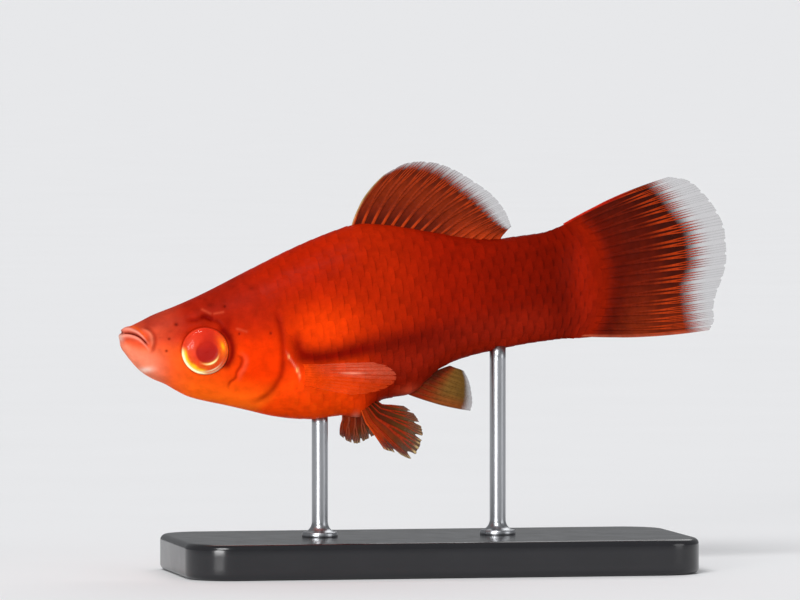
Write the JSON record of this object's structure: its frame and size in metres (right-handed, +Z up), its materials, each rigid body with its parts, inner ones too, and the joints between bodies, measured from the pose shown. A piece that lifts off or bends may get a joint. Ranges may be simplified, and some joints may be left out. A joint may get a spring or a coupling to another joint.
{
  "type": "red female swordtail fish model on a display stand",
  "caption": "Still life-size model of a red female swordtail, nose slightly down, with its fins spread, held by slim rods over a flat base.",
  "frame": {"origin": "middle of the underside of the stand's base, under the middle of the whole model's length", "axes": "+X from the snout to the tail, +Y to the fish's right, +Z up"},
  "size_m": [0.07, 0.026, 0.0458],
  "materials": {
    "flesh": "moist scaled skin, orange at the head and deep red at the tail",
    "fin": "thin translucent membrane with raised rays",
    "eye": "wet, golden iris round a red pupil",
    "stand_base": "smooth black acrylic",
    "stand_rod": "fine brushed stainless steel"
  },
  "bodies": {
    "root": {"head": "flesh", "lower_jaw": "flesh", "gill_cover_left": "flesh", "gill_cover_right": "flesh", "trunk": "flesh", "tail_stalk": "flesh", "eye_left": "eye", "eye_right": "eye", "dorsal_fin": "fin", "tail_fin": "fin", "anal_fin": "fin", "pectoral_fin_left": "fin", "pectoral_fin_right": "fin", "pelvic_fin_left": "fin", "pelvic_fin_right": "fin", "stand_base": "stand_base", "stand_rod_front": "stand_rod", "stand_rod_rear": "stand_rod"}
  },
  "joints": []
}
